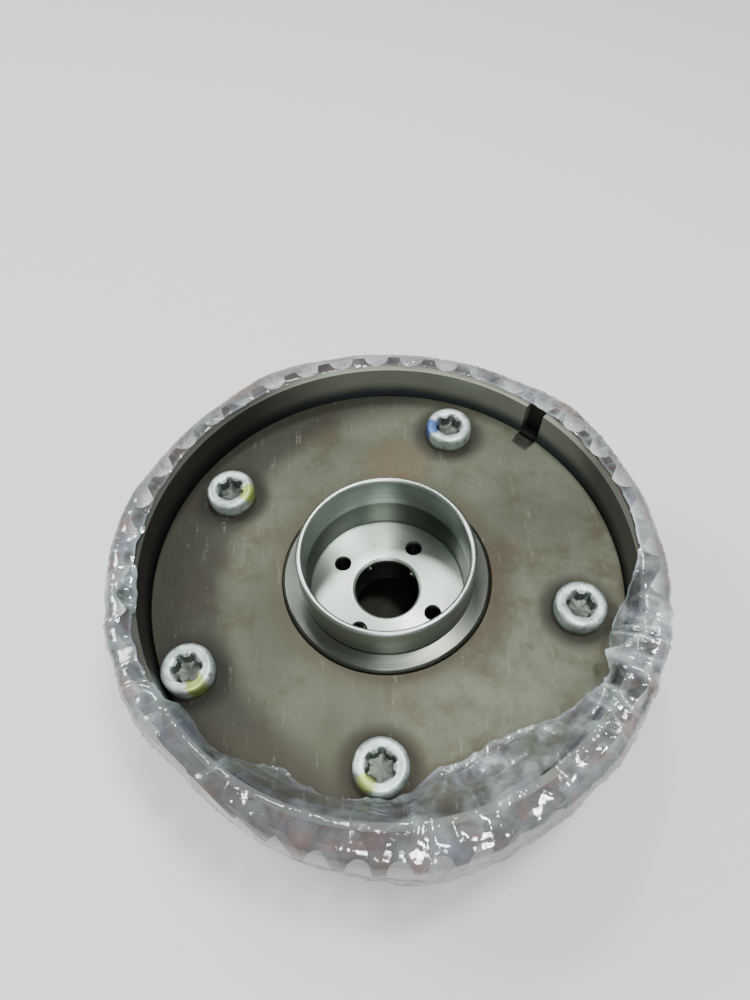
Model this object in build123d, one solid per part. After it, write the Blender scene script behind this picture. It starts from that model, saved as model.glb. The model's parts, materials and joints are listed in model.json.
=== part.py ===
from build123d import *
import os
from math import cos, degrees, pi, radians, sin

# A belt-driven camshaft wheel with a vane phaser inside. All sizes are in millimetres and degrees.
# The origin is the centre of the seat that the camshaft's nose bears on.
# +Z runs along the axis, out of the socket, towards the camshaft.

# ---- toothed rim ----
tooth_count = 40
tooth_pitch = 9.525
pitch_line_offset = 0.686        # the belt's pitch line lies this far outside the tooth tips
tooth_depth = 3.0
groove_radius = 3.05             # round groove between two teeth
land_edge_radius = 0.4
rim_lip = 9.0                    # rim above the rear cover
rim_skirt = 3.4                  # rim past the front of the vane chamber
rim_wall = 2.35                  # between the rim's bore and the bottoms of the grooves
lip_flare = 0.7                  # the lip's bore opens by this much at its top
rim_slot_angle = 45.0
rim_slot_width = 5.0
rim_slot_depth = 1.5

# ---- vane chamber ----
chamber_depth = 20.0
chamber_wall = 4.6               # between the vane chamber and the rim's bore
hub_radius = 26.0
swing = 22.0                     # how far the rotor turns in the housing
stop_gap = 1.0                   # left between vane and lobe at each end of the swing

# ---- covers ----
cover_thickness = 5.0
web_height = 6.9                 # outer face of the rear cover above the camshaft's seat
cover_edge_gap = 0.15            # cover to rim bore, radial
cover_edge_chamfer = 0.3
cover_bore_flare = 0.3
cover_bore_flare_depth = 0.6
cover_notch_reach = 4.2          # notch in the rear cover's edge, in line with the rim's slot
cover_notch_depth = 1.25
plate_ring_width = 1.5           # cover O-rings, in the covers' edges
plate_ring_depth = 1.1

# ---- cover screws ----
screw_angles = (66.0, 148.0, 207.0, 266.0, 345.0)
screw_circle_radius = 43.9
outer_screw = 2                  # this one stands further out than the others
outer_screw_radius = 48.7
screw_radius = 3.5
screw_head_radius = 5.7
screw_head_height = 4.3
screw_head_edge = 1.1
screw_hole_clearance = 0.2
screw_end_inset = 0.5            # screw tip inside the front cover's outer face
star_depth = 3.4                 # six-lobed socket in the screw's head
star_core_radius = 2.55
star_lobe_count = 6
star_lobe_radius = 0.75
star_lobe_circle = 2.55          # radius
star_mouth_radius = 3.55
star_mouth_depth = 0.6
lobe_wall = 3.45                 # metal each side of a screw's hole

# ---- rotor and its socket for the camshaft ----
axial_clearance = 0.04           # rotor to each cover
running_clearance = 0.05         # radial, at hub, vane tips, seals and pin
bolt_hole_radius = 7.7
bolt_hole_chamfer = 0.55
bolt_head_pocket_radius = 14.5
bolt_head_pocket_depth = 8.0
oil_hole_count = 4
oil_hole_radius = 2.05
oil_hole_circle = 25.2           # diameter
oil_hole_angle = 56.0
oil_hole_depth = 8.0
oil_ports = (0, 1)               # holes that feed the gallery; the others take a dowel
oil_notch_width = 1.4
oil_notch_depth = 0.6
drilling_radius = 1.2
drilling_offset = 3.4            # degrees from a vane's flank

# ---- journal sleeve ----
socket_radius = 18.6
journal_radius = 20.1
journal_height = 18.0            # top of the journal above the camshaft's seat
journal_edge = 0.5
socket_edge = 0.4
shoulder_radius = 24.0
shoulder_height = 7.8            # above the camshaft's seat
shoulder_edge = 0.6
sleeve_root_depth = 5.0          # pressed into the rotor
sleeve_root_step = 0.4           # the root's bore is this much smaller than the socket
gallery_depth = 15.0             # bottom of the oil gallery, below the camshaft's seat

# ---- seals between the chambers ----
seal_width = 1.9
seal_height = 2.2
seal_slot_depth = 3.2
seal_side_clearance = 0.05
seal_end_clearance = 0.1
leaf_thickness = 0.25
leaf_width = 1.5
leaf_clearance = 0.03

# ---- lock pin ----
lock_vane = 0                    # chamber after the first screw
pin_circle_radius = 37.5
pin_radius = 4.0
pin_head_step = 2.4              # head outside the pin
pin_head_thickness = 3.0
pin_wall = 1.1
pin_nose_thickness = 3.0
pin_travel = 2.4
pin_end_gap = 0.15               # pin tip to the front cover's face
pin_stop_gap = 0.1               # pin head to its guide sleeve
guide_length = 9.5
cap_thickness = 2.8
cap_vent_radius = 1.0
cap_sink = 0.1
spring_wire = 0.7
spring_turns = 7
spring_side_clearance = 0.15
seat_depth = 3.8
seat_wall = 1.8
seat_entry_clearance = 0.5

# ---- cover dowels ----
dowel_radius = 2.0
dowel_share = 0.4                # how far out the dowels are, between seal slot and screw hole
dowel_in_cover = 3.0
dowel_in_housing = 5.0
dowel_lobes = (0, 3)

# ---- centre plug ----
plug_thread_radius = 16.5
plug_flange_radius = 19.5
plug_flange_thickness = 1.6
plug_recess = 0.3                # plug below the front cover's outer face
plug_side_gap = 0.3
plug_inner_gap = 0.6
plug_hex = 14.0                  # across flats
plug_hex_depth = 2.6
plug_ring_width = 1.3
plug_ring_depth = 0.9

# ---- stretch film round the rim ----
film_gap = 0.1
film_thickness = 0.6
film_top_reach = 4.6             # how far the film lies in over the rim's top
film_bottom_inset = 4.0          # film's lower edge above the rim's

# ---- worked out from the sizes above ----
tip_radius = tooth_count * tooth_pitch / (2 * pi) - pitch_line_offset
root_radius = tip_radius - tooth_depth
rim_bore = root_radius - rim_wall
chamber_radius = rim_bore - chamber_wall
cover_radius = rim_bore - cover_edge_gap
chamber_rear = web_height - cover_thickness
chamber_front = chamber_rear - chamber_depth
front_face = chamber_front - cover_thickness
flange_top = front_face + plug_recess + plug_flange_thickness
rim_top = web_height + rim_lip
rim_bottom = chamber_front - rim_skirt
rotor_rear = chamber_rear - axial_clearance
rotor_front = chamber_front + axial_clearance
lobe_bore = hub_radius + running_clearance
vane_radius = chamber_radius - running_clearance
screw_hole_radius = screw_radius + screw_hole_clearance
lobe_half_angle = degrees((screw_hole_radius + lobe_wall) / screw_circle_radius)
cover_bore = shoulder_radius + running_clearance
slot_floor = lobe_bore + seal_slot_depth
dowel_circle_radius = slot_floor + dowel_share * (screw_circle_radius - screw_hole_radius - slot_floor)
root_bore = socket_radius - sleeve_root_step
port_height = -oil_hole_depth + drilling_radius
front_drilling_height = -sleeve_root_depth / 2
back_drilling_height = -gallery_depth + 2 * drilling_radius
pin_head_radius = pin_radius + pin_head_step
pin_hollow_radius = pin_radius - pin_wall
pin_tip = chamber_front + pin_end_gap
guide_top = rotor_front + guide_length
pin_head_bottom = guide_top + pin_stop_gap
pin_head_top = pin_head_bottom + pin_head_thickness
cap_bottom = rotor_rear - cap_sink - cap_thickness


def disc(radius, bottom, top):
    return Pos(0, 0, bottom) * Cylinder(radius, top - bottom, align=(Align.CENTER, Align.CENTER, Align.MIN))


def ring(outer, inner, bottom, top):
    return disc(outer, bottom, top) - disc(inner, bottom - 1, top + 1)


def polar(radius, angle):
    return Pos(radius * cos(radians(angle)), radius * sin(radians(angle)), 0)


def block(radial, tangential, axial):
    # a block whose inner face is on the YZ plane and whose foot is on the XY plane
    return Box(radial, tangential, axial, align=(Align.MIN, Align.CENTER, Align.MIN))


def sector(inner, outer, start, sweep, bottom, top):
    with BuildSketch() as outline:
        with BuildLine():
            far = CenterArc((0, 0), outer, start, sweep)
            near = CenterArc((0, 0), inner, start, sweep)
            Line(near @ 0, far @ 0)
            Line(near @ 1, far @ 1)
        make_face()
    return Pos(0, 0, bottom) * extrude(outline.sketch, top - bottom)


def cone_ring(bottom_radius, top_radius, bottom, top):
    return Pos(0, 0, bottom) * Cone(bottom_radius, top_radius, top - bottom,
                                    align=(Align.CENTER, Align.CENTER, Align.MIN))


def screw_places():
    places = []
    for number, angle in enumerate(screw_angles):
        radius = outer_screw_radius if number == outer_screw else screw_circle_radius
        places.append(polar(radius, angle))
    return places


def chambers():
    # start angle and sweep of each chamber, going round from the first screw
    spans = []
    for number, angle in enumerate(screw_angles):
        following = screw_angles[(number + 1) % len(screw_angles)]
        gap = (following - angle) % 360
        spans.append((angle + lobe_half_angle, gap - 2 * lobe_half_angle))
    return spans


def vanes():
    # start angle and sweep of each vane with the rotor against its base stop
    return [(start + stop_gap, sweep - swing - 2 * stop_gap) for start, sweep in chambers()]


def save(name, *solids):
    shape = solids[0] if len(solids) == 1 else Compound(children=list(solids))
    export_step(shape, f"parts/{name}.step")
    print(name, len(solids), round(shape.volume, 1))


def toothed_band():
    groove = Pos(tip_radius, 0, 0) * Circle(groove_radius)
    outline = Circle(tip_radius) - [Rot(Z=360 * k / tooth_count) * groove for k in range(tooth_count)]
    corners = [v for v in outline.vertices() if (v.X**2 + v.Y**2) ** 0.5 > tip_radius - land_edge_radius]
    outline = fillet(corners, land_edge_radius)
    return Pos(0, 0, rim_bottom) * extrude(outline, rim_top - rim_bottom)


def pulley_housing():
    body = toothed_band()
    body -= disc(rim_bore, web_height - cover_thickness, rim_top + 1)
    body -= cone_ring(rim_bore, rim_bore + lip_flare, web_height, rim_top)
    body -= disc(rim_bore, rim_bottom - 1, chamber_front)
    body -= disc(lobe_bore, chamber_front - 1, chamber_rear + 1)
    for start, sweep in chambers():
        body -= sector(lobe_bore - 1, chamber_radius, start, sweep, chamber_front - 1, chamber_rear + 1)
    for place in screw_places():
        body -= place * disc(screw_hole_radius, chamber_front - 1, chamber_rear + 1)
    slot = block(rim_slot_depth + lip_flare + 1, rim_slot_width, rim_lip + 1)
    body -= Rot(Z=rim_slot_angle) * Pos(rim_bore - 1, 0, web_height) * slot
    for angle in screw_angles:
        slot = block(seal_slot_depth + 1, seal_width + 2 * seal_side_clearance, chamber_depth + 2)
        body -= Rot(Z=angle) * Pos(lobe_bore - 1, 0, chamber_front - 1) * slot
    for number in dowel_lobes:
        place = polar(dowel_circle_radius, screw_angles[number])
        body -= place * disc(dowel_radius, chamber_rear - dowel_in_housing, chamber_rear + 1)
        body -= place * disc(dowel_radius, chamber_front - 1, chamber_front + dowel_in_housing)
    return body


def cover_blank(bottom, top, groove_middle):
    plate = disc(cover_radius, bottom, top)
    plate = chamfer(plate.edges().filter_by(GeomType.CIRCLE), cover_edge_chamfer)
    low = groove_middle - plate_ring_width / 2
    high = groove_middle + plate_ring_width / 2
    return plate - ring(cover_radius + 1, cover_radius - plate_ring_depth, low, high)


def cover_notch():
    half = rim_slot_width / 2
    middle = cover_radius - cover_notch_reach + half
    low = web_height - cover_notch_depth
    end = Pos(middle, 0, 0) * disc(half, low, web_height + 1)
    mouth = Pos(middle, 0, low) * block(cover_notch_reach, rim_slot_width, cover_notch_depth + 1)
    return Rot(Z=rim_slot_angle) * (end + mouth)


def rear_cover():
    plate = cover_blank(chamber_rear, web_height, chamber_rear + cover_thickness / 2)
    plate -= disc(cover_bore, chamber_rear - 1, web_height + 1)
    plate -= cone_ring(cover_bore, cover_bore + cover_bore_flare,
                       web_height - cover_bore_flare_depth, web_height)
    plate -= cover_notch()
    for place in screw_places():
        plate -= place * disc(screw_hole_radius, chamber_rear - 1, web_height + 1)
    for number in dowel_lobes:
        place = polar(dowel_circle_radius, screw_angles[number])
        plate -= place * disc(dowel_radius, chamber_rear - 1, chamber_rear + dowel_in_cover)
    return plate


def front_cover():
    plate = cover_blank(front_face, chamber_front, front_face + cover_thickness / 2)
    plate -= disc(plug_thread_radius, front_face - 1, chamber_front + 1)
    plate -= disc(plug_flange_radius + plug_side_gap, front_face - 1, flange_top)
    for place in screw_places():
        plate -= place * disc(screw_radius, front_face - 1, chamber_front + 1)
    for number in dowel_lobes:
        place = polar(dowel_circle_radius, screw_angles[number])
        plate -= place * disc(dowel_radius, chamber_front - dowel_in_cover, chamber_front + 1)
    plate -= pin_place() * disc(seat_outer_radius(), chamber_front - seat_depth, chamber_front + 1)
    return plate


def cover_oring(middle):
    inner = cover_radius - plate_ring_depth
    return ring(rim_bore, inner, middle - plate_ring_width / 2, middle + plate_ring_width / 2)


def cover_screw():
    head = disc(screw_head_radius, web_height, web_height + screw_head_height)
    top_edge = head.edges().filter_by(GeomType.CIRCLE).sort_by(Axis.Z)[-1]
    head = fillet(top_edge, screw_head_edge)
    star = Circle(star_core_radius)
    for k in range(star_lobe_count):
        star += Rot(Z=360 * k / star_lobe_count) * Pos(star_lobe_circle, 0, 0) * Circle(star_lobe_radius)
    head_top = web_height + screw_head_height
    head -= Pos(0, 0, head_top - star_depth) * extrude(star, star_depth + 1)
    head -= cone_ring(star_core_radius, star_mouth_radius, head_top - star_mouth_depth, head_top)
    return head + disc(screw_radius, front_face + screw_end_inset, web_height)


def cover_dowels():
    dowels = []
    for number in dowel_lobes:
        place = polar(dowel_circle_radius, screw_angles[number])
        for face, below, above in ((chamber_rear, dowel_in_housing, dowel_in_cover),
                                   (chamber_front, dowel_in_cover, dowel_in_housing)):
            dowels.append(place * disc(dowel_radius, face - below, face + above))
    return dowels


def drilling(inner, outer, angle, height):
    bore = Pos(inner, 0, height) * Rot(Y=90) * Cylinder(
        drilling_radius, outer - inner, align=(Align.CENTER, Align.CENTER, Align.MIN))
    return Rot(Z=angle) * bore


def rotor():
    body = disc(hub_radius, rotor_front, rotor_rear)
    for start, sweep in vanes():
        body += sector(hub_radius - 2, vane_radius, start, sweep, rotor_front, rotor_rear)
    body -= disc(socket_radius, 0, rotor_rear + 1)
    body -= ring(journal_radius, root_bore, -gallery_depth, rotor_rear + 1)
    body -= disc(bolt_hole_radius, rotor_front - 1, 1)
    body -= cone_ring(bolt_hole_radius, bolt_hole_radius + bolt_hole_chamfer, -bolt_hole_chamfer, 0)
    body -= disc(bolt_head_pocket_radius, rotor_front - 1, rotor_front + bolt_head_pocket_depth)
    for k in range(oil_hole_count):
        angle = oil_hole_angle + 360 * k / oil_hole_count
        body -= polar(oil_hole_circle / 2, angle) * disc(oil_hole_radius, -oil_hole_depth, 1)
    for k in oil_ports:
        angle = oil_hole_angle + 360 * k / oil_hole_count
        body -= drilling(oil_hole_circle / 2, journal_radius, angle, port_height)
    notch = block(root_bore - oil_hole_circle / 2, oil_notch_width, oil_notch_depth + 1)
    last_hole = oil_hole_angle + 360 * (oil_hole_count - 1) / oil_hole_count
    body -= Rot(Z=last_hole) * Pos(oil_hole_circle / 2, 0, -oil_notch_depth) * notch
    for start, sweep in vanes():
        after = start + sweep + drilling_offset
        body -= drilling(bolt_hole_radius - 1, hub_radius + 1, after, front_drilling_height)
        before = start - drilling_offset
        body -= drilling(socket_radius, hub_radius + 1, before, back_drilling_height)
        slot = block(seal_slot_depth + 1, seal_width + 2 * seal_side_clearance, chamber_depth + 2)
        slot_place = Rot(Z=start + sweep / 2) * Pos(vane_radius - seal_slot_depth, 0, rotor_front - 1)
        body -= slot_place * slot
    body -= pin_place() * disc(pin_head_radius + running_clearance, rotor_front - 1, rotor_rear + 1)
    return body


def journal_sleeve():
    body = disc(journal_radius, -sleeve_root_depth, journal_height)
    body = chamfer(body.edges().filter_by(GeomType.CIRCLE).sort_by(Axis.Z)[-1], journal_edge)
    collar = disc(shoulder_radius, rotor_rear, shoulder_height)
    collar = chamfer(collar.edges().filter_by(GeomType.CIRCLE).sort_by(Axis.Z)[-1], shoulder_edge)
    body += collar
    body -= disc(root_bore, -sleeve_root_depth - 1, 1)
    body -= disc(socket_radius, 0, journal_height + 1)
    for start, sweep in vanes():
        after = start + sweep + drilling_offset
        body -= drilling(root_bore - 1, journal_radius + 1, after, front_drilling_height)
    edge_bottom = journal_height - socket_edge
    return body - cone_ring(socket_radius, socket_radius + socket_edge, edge_bottom, journal_height)


def vane_seals():
    seals = []
    outer = chamber_radius - running_clearance / 2
    for start, sweep in vanes():
        low = rotor_front + seal_end_clearance
        high = rotor_rear - seal_end_clearance
        blank = Pos(outer - seal_height, 0, low) * block(seal_height + 1, seal_width, high - low)
        seals.append(Rot(Z=start + sweep / 2) * (blank & disc(outer, low, high)))
    return seals


def lobe_seals():
    seals = []
    inner = hub_radius + running_clearance / 2
    for angle in screw_angles:
        low = chamber_front + seal_end_clearance
        high = chamber_rear - seal_end_clearance
        blank = Pos(inner - 1, 0, low) * block(seal_height + 1, seal_width, high - low)
        seals.append(Rot(Z=angle) * (blank - disc(inner, low - 1, high + 1)))
    return seals


def leaf_spring(inner, outer):
    # a bowed strip that stands between radius inner, at its middle, and radius outer, at its two ends
    rise = outer - inner - leaf_thickness
    middle = (chamber_front + chamber_rear) / 2
    half = chamber_depth / 2 - 1
    with BuildSketch(Plane.XZ) as profile:
        with BuildLine():
            low = middle - half
            high = middle + half
            near = ThreePointArc((inner + rise, low), (inner, middle), (inner + rise, high))
            far = ThreePointArc((outer, low), (inner + leaf_thickness, middle), (outer, high))
            Line(near @ 0, far @ 0)
            Line(near @ 1, far @ 1)
        make_face()
    return extrude(profile.sketch, leaf_width / 2, both=True)


def vane_seal_springs():
    inner = vane_radius - seal_slot_depth + leaf_clearance
    outer = chamber_radius - running_clearance / 2 - seal_height - leaf_clearance
    leaf = leaf_spring(inner, outer)
    return [Rot(Z=start + sweep / 2) * leaf for start, sweep in vanes()]


def lobe_seal_springs():
    inner = hub_radius + running_clearance / 2 + seal_height + leaf_clearance
    outer = lobe_bore + seal_slot_depth - leaf_clearance
    leaf = leaf_spring(inner, outer)
    return [Rot(Z=angle) * leaf for angle in screw_angles]


def pin_place():
    start, sweep = vanes()[lock_vane]
    return polar(pin_circle_radius, start + sweep / 2)


def seat_outer_radius():
    return pin_radius + seat_entry_clearance + seat_wall


def lock_pin():
    body = disc(pin_radius, pin_tip, pin_head_bottom + 1)
    body += disc(pin_head_radius, pin_head_bottom, pin_head_top)
    body -= disc(pin_hollow_radius, pin_tip + pin_nose_thickness, pin_head_top + 1)
    return pin_place() * body


def lock_pin_sleeve():
    outer = pin_head_radius + running_clearance
    return pin_place() * ring(outer, pin_radius + running_clearance, rotor_front, guide_top)


def lock_pin_cap():
    cap = disc(pin_head_radius + running_clearance, cap_bottom, cap_bottom + cap_thickness)
    return pin_place() * (cap - disc(cap_vent_radius, cap_bottom - 1, rotor_rear + 1))


def lock_pin_spring():
    coil_radius = pin_hollow_radius - spring_side_clearance - spring_wire / 2
    bottom = pin_tip + pin_nose_thickness + spring_wire / 2 + leaf_clearance
    length = cap_bottom - spring_wire / 2 - leaf_clearance - bottom
    path = Helix(length / spring_turns, length, coil_radius)
    section = Plane(path @ 0, z_dir=path % 0) * Circle(spring_wire / 2)
    return pin_place() * Pos(0, 0, bottom) * sweep(section, path, is_frenet=True)


def lock_pin_seat():
    bore = pin_radius + seat_entry_clearance
    return pin_place() * ring(seat_outer_radius(), bore, chamber_front - seat_depth, chamber_front)


def centre_plug():
    outer_face = front_face + plug_recess
    body = disc(plug_thread_radius, outer_face, chamber_front - plug_inner_gap)
    body += disc(plug_flange_radius, outer_face, flange_top)
    body -= plug_oring()
    hexagon = RegularPolygon(plug_hex / 2, 6, major_radius=False)
    return body - Pos(0, 0, outer_face - 1) * extrude(hexagon, plug_hex_depth + 1)


def plug_oring():
    outer = plug_thread_radius + plug_ring_width
    return ring(outer, plug_thread_radius, flange_top - plug_ring_depth, flange_top)


def film_wrap():
    inner = tip_radius + film_gap
    outer = inner + film_thickness
    low = rim_bottom + film_bottom_inset
    over = rim_top + film_gap
    wall = ring(outer, inner, low, over)
    lid = ring(outer, outer - film_top_reach - film_thickness, over, over + film_thickness)
    return wall + lid


os.makedirs("parts", exist_ok=True)
save("pulley_housing", pulley_housing())
save("rear_cover", rear_cover())
save("front_cover", front_cover())
save("rear_cover_oring", cover_oring(chamber_rear + cover_thickness / 2))
save("front_cover_oring", cover_oring(front_face + cover_thickness / 2))
save("cover_screws", *[place * cover_screw() for place in screw_places()])
save("cover_dowels", *cover_dowels())
save("lobe_seals", *lobe_seals())
save("lobe_seal_springs", *lobe_seal_springs())
save("lock_pin_seat", lock_pin_seat())
save("centre_plug", centre_plug())
save("plug_oring", plug_oring())
save("film_wrap", film_wrap())
save("rotor", rotor())
save("journal_sleeve", journal_sleeve())
save("vane_seals", *vane_seals())
save("vane_seal_springs", *vane_seal_springs())
save("lock_pin_sleeve", lock_pin_sleeve())
save("lock_pin_cap", lock_pin_cap())
save("lock_pin_spring", lock_pin_spring())
save("lock_pin", lock_pin())
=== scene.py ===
import json
import math
import bpy
import bmesh
from mathutils import Matrix, Vector, noise


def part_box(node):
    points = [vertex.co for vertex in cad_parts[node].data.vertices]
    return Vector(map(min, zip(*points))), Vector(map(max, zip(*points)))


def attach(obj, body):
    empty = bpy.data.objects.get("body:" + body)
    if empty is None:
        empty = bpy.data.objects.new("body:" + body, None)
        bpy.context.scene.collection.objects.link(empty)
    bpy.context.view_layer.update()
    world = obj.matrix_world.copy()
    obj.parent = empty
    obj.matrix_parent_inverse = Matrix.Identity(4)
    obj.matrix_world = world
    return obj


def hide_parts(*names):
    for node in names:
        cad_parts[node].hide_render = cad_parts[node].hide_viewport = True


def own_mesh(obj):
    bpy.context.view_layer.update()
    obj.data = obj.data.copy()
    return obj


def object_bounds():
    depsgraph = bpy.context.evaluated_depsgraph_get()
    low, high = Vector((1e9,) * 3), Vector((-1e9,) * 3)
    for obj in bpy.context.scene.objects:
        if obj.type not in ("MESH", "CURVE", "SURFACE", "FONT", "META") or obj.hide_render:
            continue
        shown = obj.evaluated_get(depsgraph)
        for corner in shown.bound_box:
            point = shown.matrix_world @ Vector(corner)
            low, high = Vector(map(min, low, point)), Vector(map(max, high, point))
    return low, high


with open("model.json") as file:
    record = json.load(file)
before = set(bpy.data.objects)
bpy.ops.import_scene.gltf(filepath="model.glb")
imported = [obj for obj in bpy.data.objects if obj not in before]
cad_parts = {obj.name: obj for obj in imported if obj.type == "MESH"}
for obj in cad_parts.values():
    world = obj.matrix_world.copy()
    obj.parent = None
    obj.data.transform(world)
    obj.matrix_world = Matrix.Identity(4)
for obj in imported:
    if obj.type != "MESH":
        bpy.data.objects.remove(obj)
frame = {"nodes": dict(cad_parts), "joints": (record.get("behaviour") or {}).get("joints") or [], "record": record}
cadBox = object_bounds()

print("frame loaded:", len(frame["nodes"]), "nodes")

mm = 0.001
scene = bpy.context.scene
recordMounts = {mount["name"]: mount for mount in frame["record"]["mounts"]}


def boxOf(node):
    low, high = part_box(node)
    return {"low": low, "high": high, "radius": (high.x - low.x) / 2}


# levels and radii that the pieces below share, read from the frame
web = boxOf("rear_cover")
rim = boxOf("pulley_housing")
sleeve = boxOf("journal_sleeve")
screws = boxOf("cover_screws")
webTop = web["high"].z
rimTop = rim["high"].z
restLevel = cadBox[0][2]


# camera, lights and floor

cameraView = {
    "place": Vector((-1.96, -80.34, 162.4)) * mm,
    "elevation": 56.99,
    "roll": -2.49,
    "lens": 27.0,
}


def makeCamera():
    tilt = math.radians(cameraView["elevation"])
    roll = math.radians(cameraView["roll"])
    back = Vector((0, -math.cos(tilt), math.sin(tilt)))
    level = Vector((1, 0, 0))
    up = back.cross(level)
    right = math.cos(roll) * level + math.sin(roll) * up
    above = -math.sin(roll) * level + math.cos(roll) * up
    data = bpy.data.cameras.new("camera")
    data.lens = cameraView["lens"]
    data.clip_start = 0.01
    camera = bpy.data.objects.new("camera", data)
    turn = Matrix((right, above, back)).transposed().to_4x4()
    camera.matrix_world = Matrix.Translation(cameraView["place"]) @ turn
    scene.collection.objects.link(camera)
    scene.camera = camera


studio = {
    "back": {"place": (-0.05, 0.40, 0.72), "aim": (0, 0, 0), "size": 0.12, "power": 1.9},
    "front": {"place": (0.02, -0.36, 0.70), "aim": (0, 0, 0), "size": 0.14, "power": 3.9},
    "left": {"place": (-0.62, 0.30, 0.52), "aim": (0, 0, 0), "size": 0.30, "power": 4.2},
    "lamp": {"place": (0.16, 0.05, 0.70), "aim": (0.03, -0.05, 0), "size": 0.10, "power": 3.0},
    "worldColor": (0.80, 0.84, 0.83, 1),
    "worldStrength": 0.34,
    "floorColor": (0.84, 0.84, 0.82, 1),
    "floorSize": 3.0,
}


def makeLight(name):
    values = studio[name]
    data = bpy.data.lights.new(name, "AREA")
    data.shape = "SQUARE"
    data.size = values["size"]
    data.energy = values["power"]
    lamp = bpy.data.objects.new(name, data)
    lamp.location = values["place"]
    aim = Vector(values["aim"]) - Vector(values["place"])
    lamp.rotation_euler = aim.to_track_quat("-Z", "Y").to_euler()
    scene.collection.objects.link(lamp)


def makeWorld():
    world = bpy.data.worlds.new("studio")
    world.use_nodes = True
    sky = world.node_tree.nodes["Background"]
    sky.inputs["Color"].default_value = studio["worldColor"]
    sky.inputs["Strength"].default_value = studio["worldStrength"]
    scene.world = world


# shader sums

class Wire:
    # a socket that can stand in a sum; with no socket it only adds nodes
    def __init__(self, tree, socket=None):
        self.tree = tree
        self.socket = socket

    def node(self, kind, settings=None, **sockets):
        made = self.tree.nodes.new(kind)
        for name, value in (settings or {}).items():
            setattr(made, name, value)
        for name, value in sockets.items():
            socket = made.inputs[int(name[1:])] if name[0] == "_" else made.inputs[name.replace("_", " ")]
            if isinstance(value, Wire):
                self.tree.links.new(value.socket, socket)
            else:
                socket.default_value = value
        return made

    def out(self, kind, output, settings=None, **sockets):
        return Wire(self.tree, self.node(kind, settings, **sockets).outputs[output])

    def sum(self, operation, first, second=None):
        sockets = {"_0": first} if second is None else {"_0": first, "_1": second}
        return self.out("ShaderNodeMath", 0, {"operation": operation}, **sockets)

    def __add__(self, other):
        return self.sum("ADD", self, other)

    def __radd__(self, other):
        return self.sum("ADD", other, self)

    def __sub__(self, other):
        return self.sum("SUBTRACT", self, other)

    def __rsub__(self, other):
        return self.sum("SUBTRACT", other, self)

    def __mul__(self, other):
        return self.sum("MULTIPLY", self, other)

    def __rmul__(self, other):
        return self.sum("MULTIPLY", other, self)

    def __truediv__(self, other):
        return self.sum("DIVIDE", self, other)

    def clamp(self):
        return self.sum("MAXIMUM", self.sum("MINIMUM", self, 1.0), 0.0)

    def step(self, low, high):
        return self.out("ShaderNodeMapRange", 0, {"interpolation_type": "SMOOTHSTEP"},
                        Value=self, From_Min=low, From_Max=high)

    def mix(self, first, second):
        # the first colour where this is 0, the second where it is 1
        return self.out("ShaderNodeMix", 2, {"data_type": "RGBA"}, _0=self, _6=first, _7=second)


def color(red, green, blue):
    return (red, green, blue, 1)


def newMaterial(name):
    material = bpy.data.materials.new(name)
    material.use_nodes = True
    material.node_tree.nodes.clear()
    return material, Wire(material.node_tree)


def objectPlace(wire):
    return wire.out("ShaderNodeTexCoord", "Object")


def spots(wire, place, scale, detail=3.0, roughness=0.55, distortion=0.0):
    return wire.out("ShaderNodeTexNoise", 0, None, Vector=place, Scale=scale, Detail=detail,
                    Roughness=roughness, Distortion=distortion)


def finishMaterial(wire, shader):
    output = wire.node("ShaderNodeOutputMaterial")
    wire.tree.links.new(shader.outputs[0], output.inputs["Surface"])


def bumpOf(wire, height, strength, depth):
    return wire.out("ShaderNodeBump", 0, None, Height=height, Strength=strength, Distance=depth)


def attributeOf(wire, name):
    return wire.out("ShaderNodeAttribute", "Fac", {"attribute_name": name})


def finishMetal(wire, tone, metallic, rough, bump, **more):
    shader = wire.node("ShaderNodeBsdfPrincipled", None, Base_Color=tone, Metallic=metallic,
                       Roughness=rough, Normal=bump, **more)
    finishMaterial(wire, shader)


def partsOf(wire, place):
    parts = wire.node("ShaderNodeSeparateXYZ", None, Vector=place)
    return [Wire(wire.tree, parts.outputs[name]) for name in ("X", "Y", "Z")]


def radiusOf(wire, place):
    # distance from the wheel's axis
    x, y, z = partsOf(wire, place)
    return wire.sum("SQRT", x * x + y * y)


def reachOf(wire, place, centre):
    # distance in mm from an upright line through the centre
    x, y, z = partsOf(wire, place)
    across = x - centre.x
    along = y - centre.y
    return wire.sum("SQRT", across * across + along * along) * 1000.0


def nearest(wire, place, centres):
    reach = reachOf(wire, place, centres[0])
    for centre in centres[1:]:
        reach = wire.sum("MINIMUM", reach, reachOf(wire, place, centre))
    return reach


def slotReach(wire, x, y):
    # distance in mm from the upright plane of the rim's slot, which stands at 45 degrees
    return wire.sum("ABSOLUTE", (x - y) * (1000.0 / math.sqrt(2)))


def screwPlaces():
    # centre of each screw's head, from the node's own mesh
    found = []
    middle = (webTop + screws["high"].z) / 2
    points = [v.co for v in frame["nodes"]["cover_screws"].data.vertices if v.co.z > middle]
    groups = []
    for point in points:
        flat = Vector((point.x, point.y, 0))
        home = next((g for g in groups if (g[0] - flat).length < coverScrew["reach"] * mm), None)
        if home:
            home.append(flat)
        else:
            groups.append([flat])
    for group in groups:
        xs = [p.x for p in group]
        ys = [p.y for p in group]
        found.append(Vector(((min(xs) + max(xs)) / 2, (min(ys) + max(ys)) / 2, 0)))
    return sorted(found, key=lambda p: math.atan2(p.y, p.x) % (2 * math.pi))


# finishes

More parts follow.
